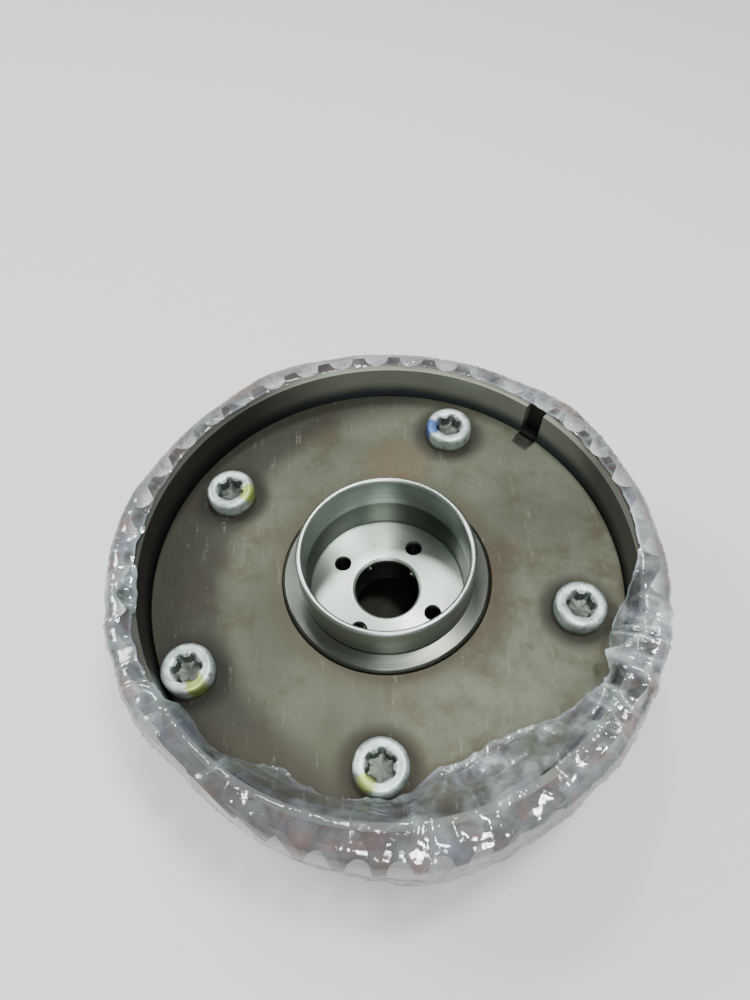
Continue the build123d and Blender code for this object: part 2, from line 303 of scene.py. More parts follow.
stainedPlate = {
    "steel": color(0.062, 0.071, 0.046),
    "pale": color(0.116, 0.132, 0.092),
    "brown": color(0.058, 0.042, 0.025),
    "rust": color(0.110, 0.058, 0.030),
    # near-black: oil stains, and the painted shade round the screws, by the wall and in the notch
    "oil": color(0.020, 0.018, 0.013),
    "scratch": color(0.22, 0.225, 0.18),
    "halo": (6.6, 10.8),          # mm from a screw's centre over which the painted shadow round its head fades
    "edge": (44.0, 53.5),        # mm from the axis over which the painted shade by the wall builds up, deeper on the left
    "collar": (24.5, 31.0),
    "warmPlace": Vector((4.0, 31.0, 0)) * mm,      # a patch of light rust beside the collar
    "warmReach": (3.0, 12.0),
    "front": (-26.0, -42.0),     # mm forward of the axis over which the plate grows browner
    "notchHalf": (2.0, 2.7),     # the notch in the plate's edge, painted dark inside as shade: its half width in mm
    "notchFrom": (49.6, 50.8),   # its inner end, in mm from the axis
    "notchSide": (0.02, 0.03),   # x in metres past which it may lie
    "roughness": 0.42,
    "metallic": 0.55,
    "grain": (900.0, 110.0, 110.0),
}


def stainedSteel(centres):
    values = stainedPlate
    material, wire = newMaterial("stained_steel")
    place = objectPlace(wire)
    x, y, z = partsOf(wire, place)
    radius = radiusOf(wire, place) * 1000.0
    cloud = spots(wire, place, 26.0, 5.0, 0.62, 0.3)
    patch = spots(wire, place, 62.0, 6.0, 0.70, 0.15)
    smudge = spots(wire, place, 110.0, 5.0, 0.7, 0.25)
    speck = spots(wire, place, 1100.0, 3.0, 0.7)
    stretched = wire.out("ShaderNodeMapping", 0, None, Vector=place, Scale=values["grain"])
    grain = spots(wire, stretched, 1.0, 3.0, 0.6)
    tone = (cloud.step(0.36, 0.64) * 0.75 + grain * 0.25).mix(values["steel"], values["pale"])
    tone = (patch.step(0.47, 0.68) * 0.62).mix(tone, values["brown"])
    tone = (smudge.step(0.58, 0.72) * patch.step(0.40, 0.60) * 0.40).mix(tone, values["rust"])
    tone = ((1.0 - smudge.step(0.30, 0.42)) * cloud.step(0.44, 0.60) * 0.35).mix(tone, values["oil"])
    # painted shadow round each screw's head, which also makes the plate rougher there
    halo = 1.0 - (nearest(wire, place, centres) + (patch - 0.5) * 3.0).step(*values["halo"])
    # painted shade along the foot of the wall, deeper towards the left
    edge = (radius + (cloud - 0.5) * 12.0 - x * 270.0).step(*values["edge"])
    warm = reachOf(wire, place, values["warmPlace"]) + (patch - 0.5) * 14.0
    collar = 1.0 - (radius + (patch - 0.5) * 7.0).step(*values["collar"])
    tone = (halo * 0.82).mix(tone, values["oil"])
    tone = (edge * 0.78).mix(tone, values["oil"])
    tone = (collar * 0.55).mix(tone, values["brown"])
    tone = ((1.0 - warm.step(*values["warmReach"])) * 0.45).mix(tone, values["rust"])
    # painted shade inside the notch in the plate's edge
    inNotch = (1.0 - slotReach(wire, x, y).step(*values["notchHalf"]))
    inNotch = inNotch * (radius + (smudge - 0.5)).step(*values["notchFrom"]) * x.step(*values["notchSide"])
    tone = (inNotch * 0.92).mix(tone, values["oil"])
    tone = ((y * 1000.0).step(*values["front"]) * 0.22).mix(tone, values["brown"])
    scratch = grain.step(0.60, 0.74) * speck.step(0.40, 0.60) * 0.35
    tone = scratch.mix(tone, values["scratch"])
    rough = values["roughness"] + patch * 0.20 + halo * 0.12 - scratch * 0.2
    bump = bumpOf(wire, grain * 0.35 + speck * 0.65, 0.35, 0.00008)
    finishMetal(wire, tone, values["metallic"], rough, bump)
    return material


rimFinish = {
    # painted shade at the foot of the bore's wall, fading upwards into the wall's own tone
    "wallLow": color(0.045, 0.058, 0.062),
    "wallHigh": color(0.290, 0.305, 0.250),
    # near-black painted shade for the bore's wall
    "soot": color(0.008, 0.008, 0.007),
    "sootSide": (-0.966, 0.259),     # the way from the axis to the deepest painted shade on the wall
    "toothLow": color(0.030, 0.022, 0.019),
    "toothHigh": color(0.115, 0.080, 0.068),
    "sootLeft": (0.35, 0.85),          # shares of the bore's radius over which the painted shade grows
    "sootRight": (0.72, 0.95),
    "sootFront": (-15.0, -48.0),       # mm forward of the axis over which the wall is painted darker as shade
    "boreRadius": 55.0,
    "boreLimit": (56.85, 56.95),       # mm from the axis: the bore's wall inside, the teeth outside
    "slotHalf": (2.2, 2.7),            # the slot's half width in mm
    "slotSide": (0.0765, 0.0775),      # x + y in metres, past which the slot's floor lies
    "metallic": 0.6,
}


def sinteredSteel():
    values = rimFinish
    material, wire = newMaterial("sintered_steel")
    place = objectPlace(wire)
    x, y, z = partsOf(wire, place)
    radius = radiusOf(wire, place) * 1000.0
    cloud = spots(wire, place, 60.0, 4.0, 0.6)
    pores = spots(wire, place, 2600.0, 2.0)
    rust = spots(wire, place, 170.0, 5.0, 0.7, 0.4)
    climb = ((z - webTop) / (rimTop - webTop) + (cloud - 0.5) * 0.25).step(0.10, 0.55)
    wall = climb.mix(values["wallLow"], values["wallHigh"])
    share = 1000.0 / values["boreRadius"]
    toLeft = (x * values["sootSide"][0] + y * values["sootSide"][1]) * share + (cloud - 0.5) * 0.15
    toRight = x * share + (cloud - 0.5) * 0.2
    # painted shade on the bore's wall: on the left, on the right and towards the front
    wall = (toLeft.step(*values["sootLeft"]) * 0.85).mix(wall, values["soot"])
    wall = (toRight.step(*values["sootRight"]) * 0.75).mix(wall, values["soot"])
    wall = ((y * 1000.0).step(*values["sootFront"]) * 0.65).mix(wall, values["soot"])
    # the slot's floor painted dark as shade
    inSlot = (1.0 - slotReach(wire, x, y).step(*values["slotHalf"])) * (x + y).step(*values["slotSide"])
    wall = (inSlot * 0.9).mix(wall, values["soot"])
    teeth = (cloud * 0.5 + rust.step(0.40, 0.62) * 0.5).mix(values["toothLow"], values["toothHigh"])
    tone = radius.step(*values["boreLimit"]).mix(wall, teeth)
    rough = 0.36 + cloud * 0.2
    bump = bumpOf(wire, pores, 0.25, 0.00006)
    finishMetal(wire, tone, values["metallic"], rough, bump)
    return material


# drawn is how far the tool's rings stretch a highlight; dull gives the two heights in mm between which
# another tone comes in, how much of it, and the tone
turnedParts = {
    "cover_steel": {
        "low": color(0.24, 0.24, 0.22), "high": color(0.40, 0.40, 0.37),
        "roughness": 0.30, "pitch": 2600.0, "depth": 0.00004, "stain": 0.35, "drawn": 0.0,
        "dull": (-22.4, -20.5, 0.94, color(0.012, 0.011, 0.008)),
    },
    "bright_steel": {
        "low": color(0.27, 0.31, 0.28), "high": color(0.50, 0.55, 0.51),
        "roughness": 0.20, "pitch": 3200.0, "depth": 0.00005, "stain": 0.30, "drawn": 0.6,
        "dull": (9.4, 8.2, 0.82, color(0.062, 0.066, 0.054)),
    },
    "machined_steel": {
        "low": color(0.34, 0.41, 0.35), "high": color(0.58, 0.66, 0.59),
        "roughness": 0.24, "pitch": 2600.0, "depth": 0.00009, "stain": 0.30, "drawn": 0.85,
        "dull": None,
    },
}


def turnedSteel(name, bores=()):
    # fine rings left by a lathe tool, with a thin film of old oil
    values = turnedParts[name]
    pitch = values["pitch"]
    stain = values["stain"]
    material, wire = newMaterial(name)
    place = objectPlace(wire)
    radius = radiusOf(wire, place)
    x, y, height = partsOf(wire, place)
    along = wire.out("ShaderNodeCombineXYZ", 0, None, X=radius * pitch, Y=height * pitch)
    rings = spots(wire, along, 1.0, 3.0, 0.7)
    cloud = spots(wire, place, 90.0, 4.0, 0.6)
    drip = spots(wire, place, 260.0, 4.0, 0.65, 1.0)
    tone = (rings * 0.6 + cloud * 0.4).step(0.3, 0.7).mix(values["low"], values["high"])
    tone = (cloud.step(0.48, 0.70) * stain).mix(tone, color(0.10, 0.09, 0.055))
    tone = (drip.step(0.62, 0.72) * stain).mix(tone, color(0.05, 0.04, 0.025))
    if values["dull"]:
        fromHeight, toHeight, part, dullTone = values["dull"]
        tone = ((height * 1000.0).step(fromHeight, toHeight) * part).mix(tone, dullTone)
    below = 1.0 - (height * 1000.0).step(-1.8, -0.25)
    # painted shade inside each hole in the socket's floor
    for bore, reach in bores:
        holeShade = (1.0 - reachOf(wire, place, bore).step(reach, reach + 0.25)) * below
        tone = (holeShade * 0.93).mix(tone, color(0.012, 0.011, 0.008))
    rough = values["roughness"] + rings * 0.10 + cloud * 0.12
    bump = bumpOf(wire, rings, 0.5, values["depth"])
    finishMetal(wire, tone, 1.0, rough, bump, Anisotropic=values["drawn"], Anisotropic_Rotation=0.25)
    return material


seatHoles = {
    "angle": 56.0,       # of the first small hole, in degrees
    "boltMargin": 0.2,   # mm of painted shade round each hole
    "portMargin": 0.1,
}


def seatBores():
    # centre and radius in mm of each hole in the socket's floor
    bolt = recordMounts["centre_bolt_hole"]["dims"]["r_mm"]
    ports = recordMounts["oil_and_dowel_holes"]["dims"]
    found = [(Vector((0, 0, 0)), bolt + seatHoles["boltMargin"])]
    for k in range(ports["count"]):
        turn = math.radians(seatHoles["angle"] + 360 * k / ports["count"])
        centre = Vector((math.cos(turn), math.sin(turn), 0)) * ports["pcd_mm"] / 2 * mm
        found.append((centre, ports["hole_r_mm"] + seatHoles["portMargin"]))
    return found


plainParts = {
    "hardened_steel": {
        "low": color(0.34, 0.34, 0.35), "high": color(0.52, 0.52, 0.53),
        "metallic": 1.0, "roughness": 0.2, "scale": 200.0, "depth": 0.00002,
    },
    "spring_steel": {
        "low": color(0.20, 0.20, 0.22), "high": color(0.38, 0.38, 0.40),
        "metallic": 1.0, "roughness": 0.25, "scale": 260.0, "depth": 0.00002,
    },
    "seal_plastic": {
        "low": color(0.10, 0.075, 0.05), "high": color(0.17, 0.13, 0.09),
        "metallic": 0.0, "roughness": 0.45, "scale": 300.0, "depth": 0.00004,
    },
    "black_rubber": {
        "low": color(0.015, 0.015, 0.015), "high": color(0.035, 0.035, 0.035),
        "metallic": 0.0, "roughness": 0.55, "scale": 400.0, "depth": 0.00005,
    },
}


def plainFinish(name):
    values = plainParts[name]
    material, wire = newMaterial(name)
    place = objectPlace(wire)
    cloud = spots(wire, place, values["scale"], 4.0, 0.6)
    fine = spots(wire, place, values["scale"] * 9.0, 2.0)
    rough = values["roughness"] + cloud * 0.15
    bump = bumpOf(wire, fine, 0.3, values["depth"])
    finishMetal(wire, cloud.mix(values["low"], values["high"]), values["metallic"], rough, bump)
    return material


screwFinish = {
    "low": color(0.38, 0.47, 0.44),
    "high": color(0.67, 0.79, 0.75),
    # grime stains, and painted shade at each head's foot
    "grime": color(0.045, 0.040, 0.028),
    # painted shade inside each screw's socket
    "recess": color(0.055, 0.060, 0.048),
    "recessRadius": (3.0, 3.5),
    # which screw, the way to the mark from its centre, the mark's reach and width in mm
    "marks": (
        (0, (-0.95, -0.10), 4.3, 2.4, color(0.010, 0.085, 0.420)),
        (1, (0.94, -0.30), 4.4, 2.1, color(0.400, 0.480, 0.040)),
        (2, (0.55, -0.83), 4.3, 2.2, color(0.300, 0.360, 0.040)),
        (3, (-0.65, -0.76), 4.3, 2.0, color(0.340, 0.420, 0.050)),
    ),
}


def zincScrew(centres):
    values = screwFinish
    material, wire = newMaterial("zinc_screw")
    place = objectPlace(wire)
    x, y, z = partsOf(wire, place)
    cloud = spots(wire, place, 300.0, 4.0, 0.6)
    grime = spots(wire, place, 620.0, 4.0, 0.65, 0.5)
    tone = cloud.step(0.35, 0.65).mix(values["low"], values["high"])
    for number, way, reach, width, paint in values["marks"]:
        mark = centres[number] + Vector((way[0], way[1], 0)) * reach * mm
        mask = 1.0 - (reachOf(wire, place, mark) + (cloud - 0.5) * 2.4).step(width - 0.6, width + 0.7)
        tone = (mask * 0.85).mix(tone, paint)
    reach = nearest(wire, place, centres)
    tone = (grime.step(0.54, 0.66) * 0.45).mix(tone, values["grime"])
    # painted shade where each head meets the plate
    foot = 1.0 - ((z - webTop) * 1000.0 + (grime - 0.5) * 1.6).step(0.2, 1.8)
    tone = (foot * 0.75).mix(tone, values["grime"])
    # painted shade inside the socket
    inside = 1.0 - reach.step(*values["recessRadius"])
    tone = (inside * 0.8).mix(tone, values["recess"])
    rough = 0.34 + cloud * 0.18
    bump = bumpOf(wire, grime, 0.25, 0.00005)
    finishMetal(wire, tone, 0.7, rough, bump)
    return material


filmFinish = {
    "grey": color(0.120, 0.150, 0.156),
    "milk": color(0.340, 0.420, 0.430),
    "bright": color(0.640, 0.740, 0.750),
    "brightFrom": (-15.0, 38.0),      # mm across the wheel over which the haze is painted paler, as lit by the lamp
    "lilac": color(0.200, 0.190, 0.310),
    "smoke": color(0.10, 0.10, 0.10),
    "rose": color(0.26, 0.15, 0.13),
    "thin": 0.14,
    "haze": 0.32,
    "fold": 0.32,
    "wall": 0.36,
    "streak": 0.14,
    "clearSide": 0.55,
    "roughness": 0.07,
    "gloss": 2.4,
}


def clearFilm():
    values = filmFinish
    material, wire = newMaterial("clear_film")
    place = objectPlace(wire)
    fold = attributeOf(wire, "fold")
    haze = spots(wire, place, 85.0, 4.0, 0.62, 0.7).step(0.38, 0.66)
    fine = spots(wire, place, 520.0, 4.0, 0.65, 1.5)
    wall = attributeOf(wire, "wall")
    tint = spots(wire, place, 120.0, 3.0, 0.6).step(0.50, 0.62)
    blush = spots(wire, place, 150.0, 3.0, 0.6, 0.5).step(0.48, 0.60)
    stretched = wire.out("ShaderNodeMapping", 0, None, Vector=place, Scale=(70.0, 70.0, 1500.0))
    streak = spots(wire, stretched, 1.0, 3.0, 0.6)
    side = attributeOf(wire, "side")
    pale = attributeOf(wire, "pale")
    cloudy = haze * values["haze"] + fold * values["fold"] + streak.step(0.52, 0.70) * values["streak"]
    opacity = cloudy * pale + values["thin"]
    opacity = (opacity * (1.0 - side * values["clearSide"]) + wall * pale * values["wall"]).clamp()
    x, y, z = partsOf(wire, place)
    # painted light: the haze paler towards the lamp's side
    milk = (x * 1000.0).step(*values["brightFrom"]).mix(values["milk"], values["bright"])
    tone = (haze * 0.5 + fold * 0.5).mix(values["grey"], milk)
    tone = (tint * 0.5).mix(tone, values["lilac"])
    tone = (wall * (1.0 - fold) * 0.6).mix(tone, values["smoke"])
    tone = (wall * blush * 0.6).mix(tone, values["rose"])
    bump = bumpOf(wire, fine * 0.6 + streak * 0.4, 0.3, 0.00022)
    shader = wire.node("ShaderNodeBsdfPrincipled", None, Base_Color=tone, Roughness=values["roughness"],
                       IOR=values["gloss"], Normal=bump, Alpha=opacity)
    finishMaterial(wire, shader)
    return material


# meshes

def meshObject(name, points, faces, material, smooth=True):
    mesh = bpy.data.meshes.new(name)
    mesh.from_pydata(points, [], faces)
    mesh.materials.append(material)
    mesh.polygons.foreach_set("use_smooth", [smooth] * len(mesh.polygons))
    mesh.update()
    made = bpy.data.objects.new(name, mesh)
    scene.collection.objects.link(made)
    return made


def skin(rings, closedLoop):
    # quads between rings of equal length; the last ring meets the first where the section is a loop
    points = [point for ring in rings for point in ring]
    count = len(rings[0])
    faces = []
    last = len(rings) if closedLoop else len(rings) - 1
    for row in range(last):
        following = (row + 1) % len(rings)
        here = row * count
        there = following * count
        for k in range(count):
            turned = (k + 1) % count
            faces.append((here + k, here + turned, there + turned, there + k))
    return points, faces


# journal sleeve

sleeveShape = {
    "segments": 256,
    "rootStep": 0.4,
    "socketFlare": 0.4,
    "journalEdge": 0.5,
    "shoulderEdge": 0.6,
    "softRadius": 0.12,
}


def sleeveSection():
    values = sleeveShape
    socket = recordMounts["camshaft_socket"]["dims"]["r_mm"]
    journal = recordMounts["seal_journal"]["dims"]
    top = sleeve["high"].z / mm
    bottom = sleeve["low"].z / mm
    outer = sleeve["radius"] / mm
    shoulderTop = recordMounts["seal_journal"]["pos_m"][2] / mm - journal["length_mm"] / 2
    shoulderBottom = boxOf("rotor")["high"].z / mm
    root = socket - values["rootStep"]
    flare = values["socketFlare"]
    edge = values["journalEdge"]
    chamfer = values["shoulderEdge"]
    return [
        (root, bottom), (journal["r_mm"], bottom), (journal["r_mm"], shoulderBottom), (outer, shoulderBottom),
        (outer, shoulderTop - chamfer), (outer - chamfer, shoulderTop), (journal["r_mm"], shoulderTop),
        (journal["r_mm"], top - edge), (journal["r_mm"] - edge, top), (socket + flare, top),
        (socket, top - flare), (socket, 0.0), (root, 0.0),
    ]


def softCorners(section, radius):
    # each corner of a closed section becomes three points close to it, so the edges catch the light
    soft = []
    for index, corner in enumerate(section):
        here = Vector(corner)
        before = Vector(section[index - 1]) - here
        after = Vector(section[(index + 1) % len(section)]) - here
        reach = min(radius, before.length / 3, after.length / 3)
        start = here + before.normalized() * reach
        end = here + after.normalized() * reach
        soft.extend([start, (start + end + here * 2) / 4, end])
    return soft


def buildSleeve(material):
    segments = sleeveShape["segments"]
    section = softCorners(sleeveSection(), sleeveShape["softRadius"])
    rings = []
    for radius, height in section:
        turns = [2 * math.pi * k / segments for k in range(segments)]
        rings.append([(radius * mm * math.cos(t), radius * mm * math.sin(t), height * mm) for t in turns])
    points, faces = skin(rings, True)
    return meshObject("journal_collar", points, faces, material)


# cover screws

coverScrew = {
    "reach": 12.0,                   # points nearer to each other than this, in mm, are one head's
    "segments": 96,
    "shankRadius": 3.5,
    "tipChamfer": 0.4,
    "headFoot": 0.1,
    "headEdge": 1.1,
    "edgeSteps": 6,
    "rimDish": 0.12,
    "mouthRadius": 3.55,
    "mouthDepth": 0.6,
    "starCore": 2.55,
    "starLobe": 0.75,
    "starLobes": 6,
    "starDepth": 3.4,
    "turns": (12.0, 38.0, 7.0, 22.0, 49.0),
}


def starRadius(turn):
    # distance out to the six-lobed recess's wall
    values = coverScrew
    step = 2 * math.pi / values["starLobes"]
    away = (turn + step / 2) % step - step / 2
    across = values["starCore"] * math.sin(away)
    if abs(across) >= values["starLobe"]:
        return values["starCore"]
    return values["starCore"] * math.cos(away) + math.sqrt(values["starLobe"] ** 2 - across ** 2)


def screwBlank():
    # one screw with its head's seat at height 0, in mm
    values = coverScrew
    segments = values["segments"]
    headRadius = values["headRadius"]
    headHeight = values["headHeight"]
    edge = values["headEdge"]
    shank = values["shankRadius"]
    tip = -values["shankLength"]
    chamfer = values["tipChamfer"]
    foot = values["headFoot"]
    outline = [(shank - chamfer, tip), (shank, tip + chamfer), (shank, -0.02),
               (headRadius - foot, 0.0), (headRadius, foot)]
    for step in range(values["edgeSteps"] + 1):
        turn = math.pi / 2 * step / values["edgeSteps"]
        outline.append((headRadius - edge + edge * math.cos(turn), headHeight - edge + edge * math.sin(turn)))
    outline.append((values["mouthRadius"] + 0.35, headHeight - values["rimDish"] / 2))
    outline.append((values["mouthRadius"], headHeight - values["rimDish"]))
    turns = [2 * math.pi * k / segments for k in range(segments)]
    rings = []
    for radius, height in outline:
        rings.append([(radius * math.cos(t), radius * math.sin(t), height) for t in turns])
    starDepth = values["starDepth"]
    for depth, shrink in ((values["mouthDepth"], 1.0), (starDepth - 0.3, 1.0), (starDepth, 0.9)):
        star = [(t, starRadius(t) * shrink) for t in turns]
        rings.append([(reach * math.cos(t), reach * math.sin(t), headHeight - depth) for t, reach in star])
    points, faces = skin(rings, False)
    points.append((0, 0, tip))
    points.append((0, 0, headHeight - starDepth - 0.5))
    below = len(points) - 2
    floor = len(points) - 1
    lastRing = (len(rings) - 1) * segments
    for k in range(segments):
        turned = (k + 1) % segments
        faces.append((below, turned, k))
        faces.append((floor, lastRing + k, lastRing + turned))
    return [Vector(point) * mm for point in points], faces


def screwTree(material):
    # sets one screw on each point, turned by the point's own angle
    tree = bpy.data.node_groups.new("screwsOnPoints", "GeometryNodeTree")
    tree.is_modifier = True
    sockets = (("points", "INPUT", "Geometry"), ("screw", "INPUT", "Object"), ("scale", "INPUT", "Float"),
               ("screws", "OUTPUT", "Geometry"))
    for name, direction, kind in sockets:
        tree.interface.new_socket(name, in_out=direction, socket_type="NodeSocket" + kind)
    wire = Wire(tree)
    entry = wire.node("NodeGroupInput")
    blank = wire.out("GeometryNodeObjectInfo", "Geometry", None, Object=Wire(tree, entry.outputs["screw"]))
    turn = wire.out("GeometryNodeInputNamedAttribute", "Attribute", {"data_type": "FLOAT"}, Name="turn")
    spin = wire.out("ShaderNodeCombineXYZ", 0, None, Z=turn)
    size = Wire(tree, entry.outputs["scale"])
    placed = wire.out("GeometryNodeInstanceOnPoints", 0, None, Points=Wire(tree, entry.outputs["points"]),
                      Instance=blank, Rotation=spin, Scale=size)
    solid = wire.out("GeometryNodeRealizeInstances", 0, None, Geometry=placed)
    painted = wire.out("GeometryNodeSetMaterial", 0, None, Geometry=solid, Material=material)
    leaving = wire.node("NodeGroupOutput")
    tree.links.new(painted.socket, leaving.inputs["screws"])
    return tree


def buildScrews(centres, material):
    coverScrew["headRadius"] = headRadiusOf(centres)
    coverScrew["headHeight"] = (screws["high"].z - webTop) / mm
    coverScrew["shankLength"] = (webTop - screws["low"].z) / mm
    points, faces = screwBlank()
    blank = meshObject("screwBlank", points, faces, material)
    seats = bpy.data.meshes.new("screwSeats")
    seats.from_pydata([(c.x, c.y, webTop) for c in centres], [], [])
    turn = seats.attributes.new("turn", "FLOAT", "POINT")
    turn.data.foreach_set("value", [math.radians(angle) for angle in coverScrew["turns"]])
    holder = bpy.data.objects.new("screwSeats", seats)
    scene.collection.objects.link(holder)
    modifier = holder.modifiers.new("screws", "NODES")
    tree = screwTree(material)
    modifier.node_group = tree
    inputs = {item.name: item.identifier for item in tree.interface.items_tree if item.in_out == "INPUT"}
    modifier[inputs["screw"]] = blank
    modifier[inputs["scale"]] = 1.0
    bpy.context.view_layer.update()
    evaluated = holder.evaluated_get(bpy.context.evaluated_depsgraph_get())
    mesh = bpy.data.meshes.new_from_object(evaluated)
    made = bpy.data.objects.new("cover_screw_set", mesh)
    scene.collection.objects.link(made)
    for spare in (holder, blank):
        bpy.data.objects.remove(spare)
    shadeByAngle(made, 32.0)
    return made


def headRadiusOf(centres):
    # widest point of the second screw's head, in mm
    centre = centres[1]
    near = [v.co for v in frame["nodes"]["cover_screws"].data.vertices if v.co.z > webTop]
    return max(reach for reach in ((Vector((p.x, p.y, 0)) - centre).length / mm for p in near) if reach < 10)


def shadeByAngle(piece, angle):
    # smooth faces, with a sharp break where two meet at more than the angle
    mesh = piece.data
    mesh.polygons.foreach_set("use_smooth", [True] * len(mesh.polygons))
    work = bmesh.new()
    work.from_mesh(mesh)
    for edge in work.edges:
        if len(edge.link_faces) == 2 and edge.calc_face_angle(0.0) > math.radians(angle):
            edge.smooth = False
    work.to_mesh(mesh)
    work.free()


# lock pin spring

def buildPinSpring():
    # a copy of the node's own coil, carried by the rotor in place of the node; its kept share is worked out but
    # not applied
    slide = next(joint for joint in frame["joints"] if joint["name"] == "lock_pin_slide")
    coil = boxOf("lock_pin_spring")
    made = bpy.data.objects.new("pin_spring", frame["nodes"]["lock_pin_spring"].data.copy())
    scene.collection.objects.link(made)
    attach(made, "rotor")
    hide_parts("lock_pin_spring")
    kept = 1 - slide["range_m"][1] / (coil["high"].z - coil["low"].z)
    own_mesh(made)
    return made


# stretch film

film = {
    "rows": 96,
    "columns": 760,
    "clearance": 0.12,
    "lowerEdge": 4.0,
    "seed": 7.3,
    # where the film is crumpled into facets: angle, how narrow the stretch is, and how high in mm
    "crumples": ((306, 3, 1.25), (192, 14, 0.8)),
    "facet": 6.0,
    "bridge": (306, 4),              # where the film spans the corner inside the rim: angle, narrowness
    # angle round the wheel in degrees, radius in mm that the inner hem reaches
    "hem": ((0, 56.0), (12, 56.8), (60, 56.3), (100, 56.2), (150, 56.4), (176, 56.0), (187, 55.3),
            (198, 56.4), (213, 56.0), (218, 53.2), (229, 54.3), (243, 48.9), (249, 50.7), (255, 51.8),
            (262, 50.8), (271, 50.2), (279, 45.5), (295, 45.0), (305, 46.2), (313, 50.0), (324, 53.3),
            (341, 51.4), (349, 53.9), (360, 56.3)),
    # angle, how milky the film is there
    "paleness": ((0, 1.25), (25, 1.0), (60, 1.0), (92, 0.72), (130, 0.95), (160, 1.1), (182, 1.9),
                 (200, 1.2), (225, 0.55), (262, 0.62), (280, 0.9), (300, 1.7), (330, 1.45), (360, 1.25)),
    # angle, how far in mm the film stands off the teeth
    "bulge": ((0, 1.4), (20, 1.8), (40, 3.6), (58, 1.4), (80, 0.9), (98, 1.5), (116, 3.4), (134, 1.5),
              (150, 1.8), (166, 3.0), (185, 1.5), (210, 1.1), (232, 0.3), (252, 1.8), (276, 3.6), (296, 2.0),
              (315, 0.7), (331, 0.2), (345, 0.9), (360, 1.4)),
    # mm that each kind of crease lifts the film: its slack, billows, pleats, folds across and small ones
    "slack": 0.30,
    "billow": 0.75,
    "pleat": 0.62,
    "cross": 0.42,
    "small": 0.12,
}


def readTable(points, angle):
    angle %= 360
    for (before, low), (after, high) in zip(points, points[1:]):
        if before <= angle <= after:
            part = (angle - before) / (after - before)
            part = part * part * (3 - 2 * part)
            return low + (high - low) * part
    return points[0][1]


def filmProfile(bulge, span):
    # radius and height along the film: up past the teeth, over the rim, down inside it and in over the web
    gap = film["clearance"] * mm
    outer = rim["radius"] + gap
    top = rimTop + gap
    bore = web["radius"]
    low = rim["low"].z + film["lowerEdge"] * mm
    tall = top - low
    stand = bulge * mm
    corners = [
        (outer, low), (outer + 0.20 * stand, low + 0.20 * tall), (outer + 0.60 * stand, low + 0.50 * tall),
        (outer + 0.95 * stand, low + 0.76 * tall), (outer + stand, low + 0.88 * tall),
        (outer + 0.75 * stand, top - 0.6 * mm), (outer - 0.6 * mm + 0.3 * stand, top + 0.25 * mm),
        (outer - 2.4 * mm, top + 0.30 * mm), (bore + 1.4 * mm, top + 0.20 * mm),
        (bore + 0.2 * mm, top - 0.8 * mm), (bore - 1.3 * mm, top - (3.6 - 2.0 * span) * mm),
        (bore - 2.8 * mm, webTop + (2.2 + 3.2 * span) * mm),
        (bore - 4.6 * mm, webTop + (0.75 + 3.0 * span) * mm),
        (bore - 7.0 * mm, webTop + (0.35 + 1.6 * span) * mm), (bore - 14.0 * mm, webTop + 0.30 * mm),
    ]
    return [Vector(corner) for corner in corners]


def alongProfile(profile, distance):
    for first, second in zip(profile, profile[1:]):
        length = (second - first).length
        if distance <= length:
            return first.lerp(second, distance / length), (second - first).normalized()
        distance -= length
    return profile[-1].copy(), (profile[-1] - profile[-2]).normalized()


def profileLengthTo(profile, radius, start=5):
    # distance along the film at which its inner part reaches a radius
    total = 0.0
    for index, (first, second) in enumerate(zip(profile, profile[1:])):
        length = (second - first).length
        if index >= start and second.x <= radius <= first.x:
            return total + length * (first.x - radius) / (first.x - second.x)
        total += length
    return total


def ridge(value, width):
    # 1 on a thin line where the noise is nought, falling to 0 a width away
    return max(0.0, 1 - abs(value) / width)


def creaseAt(angle, distance, onWall):
    # height in mm and how sharply the film is folded here
    turn = math.radians(angle)
    around = Vector((math.cos(turn), math.sin(turn), 0)) * rim["radius"] / mm
    along = distance / mm
    seed = film["seed"]
    drift = Vector((seed, -seed, seed * 2))
    billow = noise.noise(Vector((around.x, around.y, along * 0.8)) / 15 + drift)
    warp = 2.6 * noise.noise(Vector((around.x, around.y, along)) / 11 - drift)
    pleatSpot = Vector((around.x + warp, around.y + warp, along * 0.30)) / 4.6 + drift * 3
    pleat = ridge(noise.noise(pleatSpot), 0.16)
    crossSpot = Vector((around.x * 0.45, around.y * 0.45, along + warp * 1.5)) / 6.5 - drift * 2
    cross = ridge(noise.noise(crossSpot), 0.10)
    small = ridge(noise.noise(Vector((around.x, around.y, along * 0.7)) / 1.9 + drift * 5), 0.20)
    rough = max(0.0, noise.noise(Vector((around.x, around.y, along)) / 24 + drift * 4) + 0.55)
    fold = min(1.0, pleat * 0.85 + cross * 0.7 + small * 0.25) * min(1.0, rough * 1.3)
    calm = 0.35 + 0.65 * max(0.0, min(1.0, 0.55 - 1.1 * math.sin(turn - 0.35)))
    if onWall:
        calm = max(calm, 0.75)
    fold *= 0.4 + 0.6 * calm
    rough *= calm
    facets = 0.0
    for middle, narrowness, rise in film["crumples"]:
        near = max(0.0, math.cos(turn - math.radians(middle))) ** narrowness
        if near > 0.02:
            spot = Vector((around.x + warp, around.y - warp, along)) / film["facet"] + drift
            facets += near * rise * noise.voronoi(spot, distance_metric="MANHATTAN")[0][0]
    height = film["slack"] + facets + film["billow"] * calm * max(0.0, billow + 0.3)
    height += film["pleat"] * pleat ** 1.5 * rough
    height += film["cross"] * cross ** 1.5 * rough
    height += film["small"] * small
    return height, fold


